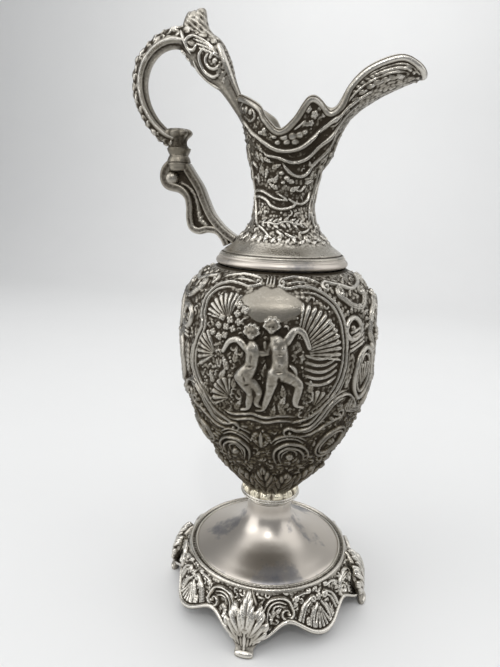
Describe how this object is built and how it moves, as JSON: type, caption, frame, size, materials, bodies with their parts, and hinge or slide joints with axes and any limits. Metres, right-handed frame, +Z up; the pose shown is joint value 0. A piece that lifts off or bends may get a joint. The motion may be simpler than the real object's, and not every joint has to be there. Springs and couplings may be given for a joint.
{
  "type": "ewer",
  "caption": "Tall cast ewer with an egg-shaped body, long spout, dragon-headed loop handle and a domed foot on four leaf feet.",
  "frame": {"origin": "point of the table under the middle of the foot, on the axis of body and neck", "axes": "+Z up, +X towards the spout, -X towards the handle, -Y towards the front"},
  "size_m": [0.1401, 0.115, 0.3],
  "materials": {
    "cast_silver": "silver plate, dark in the recesses",
    "polished_silver": "worn polished silver plate",
    "steel": "plain zinc-plated steel"
  },
  "bodies": {
    "root": {"neck_front_half": "cast_silver", "neck_back_half": "cast_silver", "body_front_half": "cast_silver", "body_back_half": "cast_silver", "handle_arch": "cast_silver", "handle_scroll": "cast_silver", "knop": "cast_silver", "foot_skirt": "cast_silver", "collar_ring": "polished_silver", "handle_ferrule": "polished_silver", "foot_dome": "polished_silver", "threaded_boss": "steel", "tie_rod": "steel", "tie_washer": "steel", "tie_nut": "steel"}
  },
  "joints": []
}
